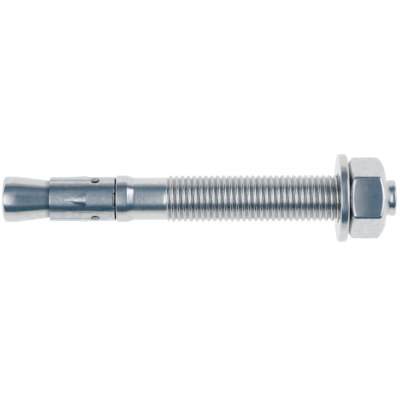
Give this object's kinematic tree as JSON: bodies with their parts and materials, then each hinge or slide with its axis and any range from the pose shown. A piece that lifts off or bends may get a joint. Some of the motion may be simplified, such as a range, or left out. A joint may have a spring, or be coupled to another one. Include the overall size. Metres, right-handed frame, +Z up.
{
  "type": "wedge anchor",
  "caption": "Zinc-plated steel wedge anchor: threaded stud with a cone end, slotted expansion clip with pressed tabs, washer and hex nut.",
  "frame": {"origin": "centre of the bounding box of the anchor, at the level of the surface that it lies on", "axes": "+X runs from the cone end to the nut end along the anchor as it lies, +Y is across it, +Z is up"},
  "size_m": [0.1338, 0.03, 0.03],
  "materials": {
    "stud_zinc": "bright zinc plating, cold-formed and rolled",
    "clip_zinc": "bright zinc plating on stamped strip",
    "washer_zinc": "bright zinc plating, blanked edge",
    "nut_zinc": "bright zinc plating, cold-formed"
  },
  "bodies": {
    "stud": {"stud": "stud_zinc"},
    "clip": {"expansion_clip": "clip_zinc"},
    "washer": {"washer": "washer_zinc"},
    "nut": {"hex_nut": "nut_zinc"}
  },
  "joints": [
    {"name": "clip_spin", "type": "hinge", "parent": "stud", "child": "clip", "pos_m": [-0.03964, 0, 0.0093], "axis": [0.9983, 0, 0.0588], "continuous": true},
    {"name": "washer_travel", "type": "slide", "parent": "stud", "child": "washer", "axis": [0.9983, 0, 0.0588], "range_m": [-0.05805, 0.00405]},
    {"name": "nut_turn", "type": "hinge", "parent": "washer", "child": "nut", "pos_m": [0.05627, 0, 0.01495], "axis": [0.9983, 0, 0.0588], "range_deg": [-10440, 720]}
  ],
  "couplings": [
    {"joint": "washer_travel", "follows": "nut_turn", "m_per_rad": 0.00031831}
  ]
}
